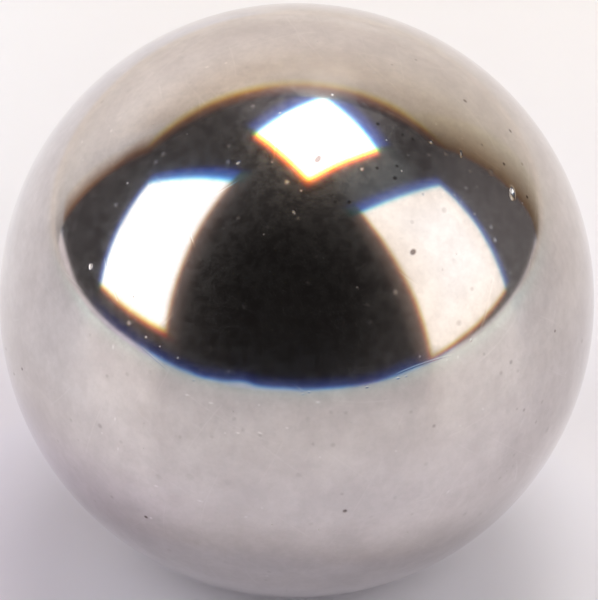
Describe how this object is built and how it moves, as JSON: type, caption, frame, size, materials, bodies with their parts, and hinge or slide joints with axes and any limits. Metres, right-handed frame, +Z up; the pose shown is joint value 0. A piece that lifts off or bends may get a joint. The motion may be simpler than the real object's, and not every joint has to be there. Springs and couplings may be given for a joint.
{
  "type": "steel ball",
  "caption": "Solid round steel ball with a mirror-polished, lightly pitted surface, for rolling or sitting in a bearing race, socket, detent or valve seat.",
  "frame": {"origin": "centre of the ball", "axes": "+Z up, away from the seat that the ball rests in; the ball is the same about every line through its centre"},
  "size_m": [0.01, 0.01, 0.01],
  "materials": {
    "polished_steel": "lapped to a mirror polish, with fine scratches, a faint haze and a few pin-point pits"
  },
  "bodies": {
    "root": {"ball": "polished_steel"}
  },
  "joints": []
}
